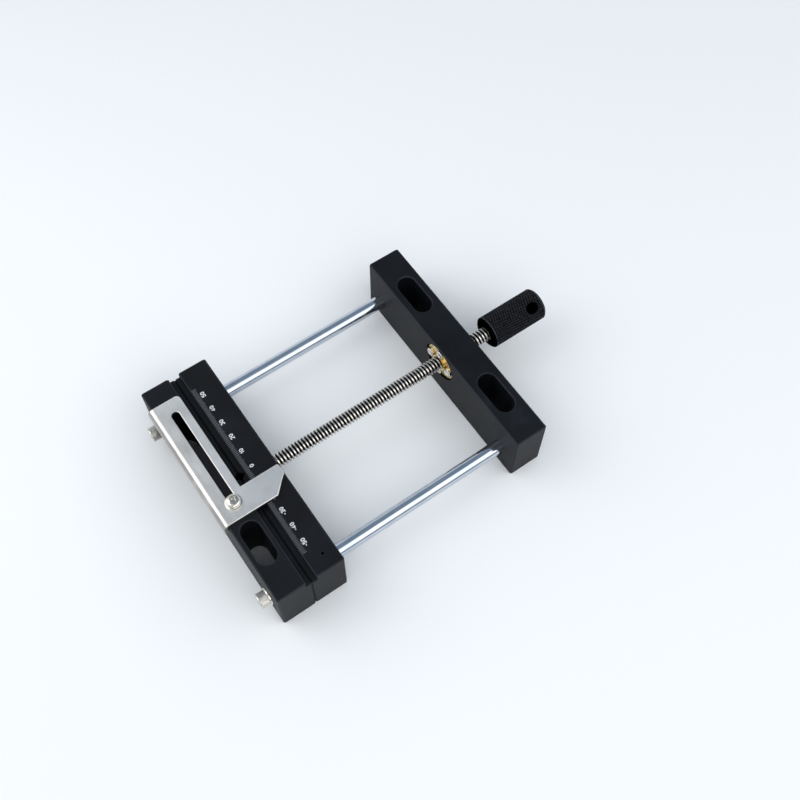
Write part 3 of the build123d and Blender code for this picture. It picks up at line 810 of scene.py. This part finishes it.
# %% Colours and nodes
def linear(hex_colour):
    """An sRGB hex colour as linear red, green, blue and an alpha of 1."""
    parts = [int(hex_colour[i : i + 2], 16) / 255 for i in (1, 3, 5)]
    return [c / 12.92 if c <= 0.04045 else ((c + 0.055) / 1.055) ** 2.4 for c in parts] + [1.0]


def add(owner, kind, inputs=None, ramp=(), **settings):
    """Adds one node to a material or world.

    inputs gives a socket a value, or a node or socket to link from. ramp gives a colour ramp its stops,
    as pairs of a place and a hex colour.
    """
    node = owner.node_tree.nodes.new("ShaderNode" + kind)
    for name, value in settings.items():
        setattr(node, name, value)
    for place, _ in ramp[1:-1]:
        node.color_ramp.elements.new(place)
    for index, (place, colour) in enumerate(ramp):
        node.color_ramp.elements[index].position = place
        node.color_ramp.elements[index].color = linear(colour)
    for socket, value in (inputs or {}).items():
        if isinstance(value, bpy.types.Node):
            value = value.outputs[0]
        if isinstance(value, bpy.types.NodeSocket):
            owner.node_tree.links.new(value, node.inputs[socket])
        else:
            node.inputs[socket].default_value = value
    return node


print("mid grey #808080 is", round(linear("#808080")[0], 3), "in linear light")

# %% [markdown]
# A finish starts from the coordinates of the piece that wears it, and so it moves with the piece. Each
# piece wears one finish.

# %% Put a finish on a piece
def new_material(name):
    """An empty material, and the Object coordinates that its patterns are drawn on."""
    material = bpy.data.materials.new(name)
    material.use_nodes = True
    material.node_tree.nodes.clear()
    return material, add(material, "TexCoord").outputs["Object"]


def dress(material, *pieces):
    """Makes a material the only one on each piece."""
    for piece in pieces:
        piece.data.materials.clear()
        piece.data.materials.append(material)
    print(material.name, "is on", ", ".join(piece.name for piece in pieces))


print("solids to dress, unless a new piece replaces them:", ", ".join(sorted(nodes)))

# %% [markdown]
# Every finish here ends in the same way: one measure mixes its colour, one sets how rough it is and one
# raises its bump. Often all three are the same noise, whose values nearly all lie between 0.3 and 0.7, so
# those two are spread over the roughness. What is the same all over goes on the shader's own sockets.

# %% The surface of a finish
METAL = {"Metallic": 1.0}
NOISE_LOW, NOISE_HIGH = 0.3, 0.7


def surface(material, sockets, colour, roughness=None, bump=None):
    """Gives a material its shader.

    Each of the last three starts with the node that it follows. colour goes on with a ramp's stops,
    roughness with its values where the noise is low and high, and bump with its strength and height.
    """
    measure, stops = colour
    sockets = {"Base Color": add(material, "ValToRGB", {"Fac": measure}, ramp=stops), **sockets}
    if roughness:
        measure, low, high = roughness
        spread = {"From Min": NOISE_LOW, "From Max": NOISE_HIGH, "To Min": low, "To Max": high}
        sockets["Roughness"] = add(material, "MapRange", {"Value": measure, **spread})
    if bump:
        measure, strength, height = bump
        relief = {"Height": measure, "Strength": strength, "Distance": height}
        sockets["Normal"] = add(material, "Bump", relief)
    add(material, "OutputMaterial", {"Surface": add(material, "BsdfPrincipled", sockets)})
    return material


print("a noise from", NOISE_LOW, "to", NOISE_HIGH, "is spread over each roughness")

# %% [markdown]
# The blocks are aluminium, bead blasted, anodised and dyed black. The dye sits in a clear layer of oxide,
# so the surface isn't bare metal to the eye: it is a dark, slightly blue body under a satin skin. The
# blast leaves a fine even grain. Along the top edges the chamfer is painted a thin paler line, a painted
# highlight, and because the chamfer is the only surface there, its height alone picks it out.

# %% Black anodised aluminium
def anodised_aluminium(block, top_z):
    """Blasted and anodised aluminium: its grain is 0.35 mm wide, coarser than the real 0.1 mm, to show."""
    material, place = new_material("black_anodised_aluminium_" + block)
    grain = add(material, "TexNoise", {"Vector": place, "Scale": 1000 / 0.35, "Detail": 2.0})
    cloud = add(material, "TexNoise", {"Vector": place, "Scale": 1000 / 22, "Detail": 3.0})
    height = add(material, "SeparateXYZ", {"Vector": place}).outputs["Z"]
    in_chamfer, below_top = (
        add(material, "MapRange", {"Value": height, "From Min": top_z - start, "From Max": top_z - full})
        for start, full in ((0.74 * MM, 0.60 * MM), (0.02 * MM, 0.12 * MM))
    )
    # The chamfer's band is painted paler, up to the last stop, on a random cloud of tone: a painted
    # highlight.
    edge = add(material, "Math", {0: in_chamfer, 1: below_top}, operation="MULTIPLY")
    paleness = add(material, "Math", {0: edge, 1: 0.5, 2: cloud}, operation="MULTIPLY_ADD")
    stops = ((0.35, "#0c0e12"), (0.65, "#13161b"), (1.0, "#2b2e34"))
    return surface(material, {"IOR": 1.25}, (paleness, stops), (grain, 0.46, 0.56), (grain, 0.25, 0.02 * MM))


for block in ("fixed_jaw", "moving_jaw", "rear_block"):
    dress(anodised_aluminium(block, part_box(block)[1].z), nodes[block])

# %% [markdown]
# Hard chrome on a ground rod is close to a mirror. What the eye reads as chrome is the room in it: a dark
# band between two bright ones. Grinding leaves faint marks that run round the rod, so the noise is
# stretched across the rod and left short along it.

# %% Hard chrome
def hard_chrome():
    """Hard chrome over ground steel, with grinding marks 0.25 mm apart, coarser than the real ones."""
    material, place = new_material("hard_chrome_on_ground_steel")
    round_the_rod = add(material, "Mapping", {"Vector": place, "Scale": (1.0, 0.02, 0.02)})
    marks = add(material, "TexNoise", {"Vector": round_the_rod, "Scale": 1000 / 0.25, "Detail": 2.0})
    cloud = add(material, "TexNoise", {"Vector": place, "Scale": 1000 / 9, "Detail": 2.0})
    stops = ((0.3, "#bfc7d2"), (0.7, "#cdd3dc"))
    return surface(material, METAL, (cloud, stops), (marks, 0.05, 0.11), (marks, 0.12, 0.004 * MM))


dress(hard_chrome(), left_rod, right_rod)

# %% [markdown]
# The screw's thread is rolled. The crests are burnished bright as they rub in the nut, and the flanks and
# roots are painted dark, a painted shade for the thread's hollows. So the colour follows the distance from
# the screw's axis, and the dark stays in the thread all along it.

# %% Rolled steel thread
def from_screw_axis(material, place):
    """The distance from the screw's axis: the length of the coordinates with X taken out."""
    flat = add(material, "Mapping", {"Vector": place, "Location": (0, 0, -screw_z), "Scale": (0, 1, 1)})
    return add(material, "VectorMath", {0: flat}, operation="LENGTH").outputs["Value"]


def rolled_steel():
    """Bright rolled steel that darkens from the crests, 4 mm from the axis, to the roots at 2.75 mm: a
    painted shade.
    """
    material, place = new_material("rolled_steel_thread")
    radius = from_screw_axis(material, place)
    wear = add(material, "TexNoise", {"Vector": place, "Scale": 1000 / 1.2, "Detail": 3.0})
    # Painted shade: the colour runs from dark at the roots to bright at the crests.
    rub_and_painted_shade = add(material, "MapRange", {"Value": radius, "From Min": 3.0 * MM, "From Max": 3.95 * MM})
    stops = ((0.1, "#1d1b19"), (0.6, "#57534e"), (0.95, "#e0dcd5"))
    return surface(material, METAL, (rub_and_painted_shade, stops), (wear, 0.22, 0.34), (wear, 0.2, 0.01 * MM))


dress(rolled_steel(), lead_screw)

# %% [markdown]
# Small steel screws and washers are plated with bright nickel. It is a little warmer than chrome, and
# barrel plating leaves the faint waves that painters call orange peel.

# %% Bright nickel plate
def nickel_plate():
    """Bright nickel on steel, with waves 0.8 mm wide."""
    material, place = new_material("bright_nickel_plate")
    peel = add(material, "TexNoise", {"Vector": place, "Scale": 1000 / 0.8, "Detail": 2.0})
    stops = ((0.3, "#cdc9c0"), (0.7, "#dedad3"))
    return surface(material, METAL, (peel, stops), (peel, 0.12, 0.20), (peel, 0.2, 0.01 * MM))


dress(nickel_plate(), stop_screw, rod_screws, flange_screws, rod_washers, stop_washer, thrust_ring)

# %% [markdown]
# The nut is free-cutting brass, turned on a lathe. The tool leaves rings on its face, so the rings are a
# sine of the distance from the axis. Polished brass is a warm yellow that is paler than gold.

# %% Turned brass
def turned_brass():
    """Turned brass with tool rings 0.3 mm apart, a feed that a small lathe really uses for roughing."""
    material, place = new_material("turned_brass")
    radius = from_screw_axis(material, place)
    turns = add(material, "Math", {0: radius, 1: 2 * pi * 1000 / 0.3}, operation="MULTIPLY")
    tool_rings = add(material, "Math", {0: turns}, operation="SINE")
    patina = add(material, "TexNoise", {"Vector": place, "Scale": 1000 / 3, "Detail": 3.0})
    stops = ((0.3, "#d9bd7d"), (0.75, "#efdaa4"))
    return surface(material, METAL, (patina, stops), (patina, 0.20, 0.32), (tool_rings, 0.25, 0.01 * MM))


dress(turned_brass(), nodes["lead_nut"])

# %% [markdown]
# The bushes in the moving jaw are sintered bronze: metal powder pressed and heated, with open pores that
# hold oil. They show as a dull brown ring round each rod, darkest and roughest in the pores.

# %% Sintered bronze
def sintered_bronze():
    """Sintered bronze, speckled with open pores 0.2 mm wide."""
    material, place = new_material("sintered_bronze")
    pores = add(material, "TexNoise", {"Vector": place, "Scale": 1000 / 0.2, "Detail": 2.0})
    stops = ((0.35, "#4f3620"), (0.6, "#94693f"))
    return surface(material, METAL, (pores, stops), (pores, 0.6, 0.4), (pores, 0.3, 0.02 * MM))


dress(sintered_bronze(), nodes["left_rod_bush"], nodes["right_rod_bush"])

# %% [markdown]
# The two pins in the journal's groove are hardened steel, ground between wheels. They stand upright, and
# the grinding marks run round them, so the noise is short along Z and long across.

# %% Ground steel
def ground_steel():
    """Ground steel with marks 0.15 mm apart, coarser than real ones, round an upright pin."""
    material, place = new_material("ground_steel")
    round_the_pin = add(material, "Mapping", {"Vector": place, "Scale": (0.05, 0.05, 1.0)})
    marks = add(material, "TexNoise", {"Vector": round_the_pin, "Scale": 1000 / 0.15, "Detail": 2.0})
    return surface(material, METAL, (marks, ((0.3, "#8d8e90"), (0.7, "#a9aaac"))), (marks, 0.22, 0.38))


dress(ground_steel(), nodes["retaining_pins"])

# %% [markdown]
# The handle is steel blackened in a hot salt bath. The oxide is only a micrometre thick and holds oil, so
# it is black in the grooves, while the pyramids' tips are rubbed a shade greyer and glint in rows.

# %% Black oxide on the knurl
def black_oxide_knurl():
    """Black oxide that turns greyer over the last 0.2 mm of the pyramids, with rubs 1.6 mm wide."""
    material, place = new_material("black_oxide_knurl")
    radius = from_screw_axis(material, place)
    tip = add(material, "MapRange", {"Value": radius, "From Min": 9.3 * MM, "From Max": 9.49 * MM})
    rub = add(material, "TexNoise", {"Vector": place, "Scale": 1000 / 1.6, "Detail": 3.0})
    paleness = add(material, "Math", {0: tip, 1: rub}, operation="MULTIPLY")
    depths = {"From Min": 9.2 * MM, "From Max": 9.45 * MM, "To Min": 0.8, "To Max": 0.35}
    sockets = {
        "Roughness": add(material, "MapRange", {"Value": radius, **depths}),
        "Specular IOR Level": add(material, "Math", {0: tip, 1: 0.3}, operation="MULTIPLY"),
    }
    stops = ((0.05, "#040405"), (0.5, "#54575d"))
    return surface(material, sockets, (paleness, stops), bump=(rub, 0.2, 0.01 * MM))


dress(black_oxide_knurl(), handle)

# %% [markdown]
# Grub screws have the same finish. They sit deep in their holes, so a plain grain is all that shows.

# %% Black oxide on the grub screws
def black_oxide_screws():
    """Black oxide with a grain 0.4 mm wide."""
    material, place = new_material("black_oxide_grub_screws")
    grain = add(material, "TexNoise", {"Vector": place, "Scale": 1000 / 0.4, "Detail": 2.0})
    return surface(material, {"IOR": 1.25}, (grain, ((0.3, "#08090a"), (0.7, "#141517"))), (grain, 0.5, 0.65))


dress(black_oxide_screws(), nodes["handle_grub_screw"], nodes["rod_grub_screws"])

# %% [markdown]
# The work stop is stainless sheet, brushed along its length before it was bent. Brushing is thousands of
# shallow parallel scratches, so the noise is long along Y and short across it. They scatter light to the
# sides, which is why the plate looks pale and even where the smooth rods look dark. The colour is painted
# paler towards the moving jaw, a painted light, and darker on the flange and the bend's lower half, a painted
# shade.

# %% Brushed stainless steel
def brushed_stainless():
    """Brushed stainless steel: its scratches are 0.25 mm apart, coarser than the real 0.05 mm, to show."""
    material, place = new_material("brushed_stainless_steel")
    along_strip = add(material, "Mapping", {"Vector": place, "Scale": (1.0, 0.016, 1.0)})
    lines = add(material, "TexNoise", {"Vector": along_strip, "Scale": 1000 / 0.25, "Detail": 3.0})
    cloud = add(material, "TexNoise", {"Vector": place, "Scale": 1000 / 12, "Detail": 2.0})
    across = add(material, "SeparateXYZ", {"Vector": place}).outputs["X"]
    tone = add(material, "Math", {0: lines, 1: 0.5, 2: cloud}, operation="MULTIPLY_ADD")
    for start, end, low, high in (
        (-8 * MM, 10 * MM, -0.15, 0.25),  # painted light: paler towards the moving jaw
        (bend_x - 2.0 * MM, bend_x - 1.5 * MM, -0.5, 0),  # painted shade: darker on the flange and the bend's lower half
    ):
        places = {"From Min": start, "From Max": end, "To Min": low, "To Max": high}
        painted_gradient = add(material, "MapRange", {"Value": across, **places})
        tone = add(material, "Math", {0: tone, 1: painted_gradient}, operation="ADD")
    # The darkest stop is reached only on the flange and the bend's lower half: the painted shade.
    stops = ((0.1, "#a3a09c"), (0.4, "#d0ccc6"), (1.0, "#f3efea"))
    return surface(material, METAL, (tone, stops), (lines, 0.28, 0.38), (lines, 0.2, 0.006 * MM))


dress(brushed_stainless(), work_stop)

# %% [markdown]
# The marks are burnt with a laser, which bleaches the dye and leaves a dry, slightly uneven white. The
# numbers are filled by many passes. The lines had a single pass, so they are greyer.

# %% Laser marks
def laser_mark(name, dark, light):
    """A dry bleached mark, speckled between two greys by a grain 0.15 mm wide."""
    material, place = new_material(name)
    specks = add(material, "TexNoise", {"Vector": place, "Scale": 1000 / 0.15, "Detail": 2.0})
    stops = ((0.3, dark), (0.7, light))
    return surface(material, {"Roughness": 0.7}, (specks, stops), bump=(specks, 0.2, 0.01 * MM))


dress(laser_mark("white_laser_mark", "#d6d8da", "#f2f3f3"), scale_numbers)
dress(laser_mark("grey_laser_mark", "#5f6368", "#7d8187"), scale_lines)

# %% [markdown]
# The vise lies on a pale painted table. Its colour makes the background pale, and not more light, which
# would wash out the black blocks. It is 0.3 mm below the feet, so that no two faces lie in one plane.

# %% Table
half, below_feet = 3.0, 0.3 * MM
table_corners = np.array([(-half, -half, 0), (half, -half, 0), (half, half, 0), (-half, half, 0)])
table = new_object("pale_table", (table_corners, np.array([(0, 1, 2, 3)]), NO_TRIANGLES))
table.location.z = -below_feet
pale = bpy.data.materials.new("pale_table")
pale.use_nodes = True
pale.node_tree.nodes.clear()
paint = add(pale, "BsdfPrincipled", {"Base Color": linear("#f5f7f8"), "Roughness": 0.8})
add(pale, "OutputMaterial", {"Surface": paint})
dress(pale, table)

# %% [markdown]
# Metal looks like metal because of what it mirrors. The rods show the sky in a fixed order: for each
# strip along a rod there is one angle from straight overhead towards +Y or -Y. So the sky here is a pale
# room with a blue-grey ceiling panel, from 14 degrees on one side of overhead to 62 on the other, and its
# -Y wall is a darker grey near the floor. The blocks' flat tops mirror the panel too, so they stay black.
# A Mix node takes its colours at sockets 6 and 7 and gives the mixed one at its output 2.

# %% Sky
world = bpy.data.worlds.new("studio")
bpy.context.scene.world = world
world.use_nodes = True
world.node_tree.nodes.clear()
toward = add(world, "SeparateXYZ", {"Vector": add(world, "TexCoord").outputs["Generated"]})
tilt = add(world, "Math", {0: toward.outputs["Y"], 1: toward.outputs["Z"]}, operation="ARCTAN2")


def product_of_edges(edges):
    """Soft edges multiplied: each is 0 at its first value of a direction's measure and 1 at its second."""
    share = 1.0
    for measure, nothing, full in edges:
        edge = add(world, "MapRange", {"Value": measure, "From Min": nothing, "From Max": full})
        share = add(world, "Math", {0: share, 1: edge}, operation="MULTIPLY")
    return share


panel = product_of_edges([
    (tilt, radians(-14), radians(-2)),
    (tilt, radians(62), radians(46)),
    (toward.outputs["X"], -0.16, -0.02),
    (toward.outputs["X"], 0.8, 0.55),
])
wall = product_of_edges([(toward.outputs["Y"], -0.1, -0.6), (toward.outputs["Z"], 0.42, 0.18)])
room = add(world, "ValToRGB", {"Fac": toward.outputs["Z"]}, ramp=((0.0, "#ecf0f3"), (0.9, "#dadee3")))
for share, colour in ((wall, "#8d959d"), (panel, "#8898a8")):
    room = add(world, "Mix", {0: share, 6: room, 7: linear(colour)}, data_type="RGBA").outputs[2]
add(world, "OutputWorld", {"Surface": add(world, "Background", {"Color": room, "Strength": 1.0})})
print("the panel's radiance is", [round(c, 2) for c in linear("#8898a8")[:3]])

# %% [markdown]
# Two softboxes add the bright strips. The large one on the -Y side is the white band along the rods. The
# small one, in front of the fixed jaw and to its +Y side, is the white line in the work stop's bend. Both
# are close and large, so that shadows stay soft. A softbox's power is its radiance times pi and its area.

# %% Softboxes
def softbox(name, place, aim, width, depth, radiance):
    """A rectangular lamp at place that faces aim, of the given radiance. A camera sees past it."""
    lamp = bpy.data.lights.new(name, "AREA")
    lamp.shape = "RECTANGLE"
    lamp.size, lamp.size_y = width, depth
    lamp.energy = radiance * pi * width * depth
    holder = bpy.data.objects.new(name, lamp)
    bpy.context.scene.collection.objects.link(holder)
    holder.location = place
    holder.rotation_mode = "QUATERNION"
    holder.rotation_quaternion = (Vector(aim) - Vector(place)).to_track_quat("-Z", "Y")
    holder.visible_camera = False
    print(name, "has", round(lamp.energy, 2), "watts")


vise_centre = (0.09, 0, 0.02)
softbox("band_softbox", (0.29, -0.67, 0.76), vise_centre, 1.6, 0.9, 1.04)
softbox("bend_softbox", (-0.30, 0.27, 0.49), vise_centre, 0.55, 0.55, 1.3)

# %% [markdown]
# The camera looks down from the fixed jaw's side, at the photograph's place and angle. They were worked
# out from the blocks' straight edges: the lens is 47.45 mm on a sensor 36 mm wide, and three rows give the
# camera's right, down and forward directions in the vise's own frame.

# %% Camera
camera_place = Vector((-0.04519, -0.22159, 0.53527))
camera_right = Vector((0.82114, -0.57071, 0.00467))
camera_down = Vector((-0.50547, -0.73103, -0.45836))
camera_forward = Vector((0.26501, 0.37402, -0.88875))
lens = bpy.data.cameras.new("camera")
lens.lens = 47.45
lens.sensor_width = 36
lens.clip_start, lens.clip_end = 0.01, 20
camera = bpy.data.objects.new("camera", lens)
bpy.context.scene.collection.objects.link(camera)
axes = Matrix([camera_right, -camera_down, -camera_forward]).transposed()
camera.matrix_world = Matrix.Translation(camera_place) @ axes.to_4x4()
bpy.context.scene.camera = camera
bpy.context.scene.view_settings.view_transform = "Standard"
print("the camera is", round((camera_place - Vector(vise_centre)).length, 3), "m from the vise's middle")
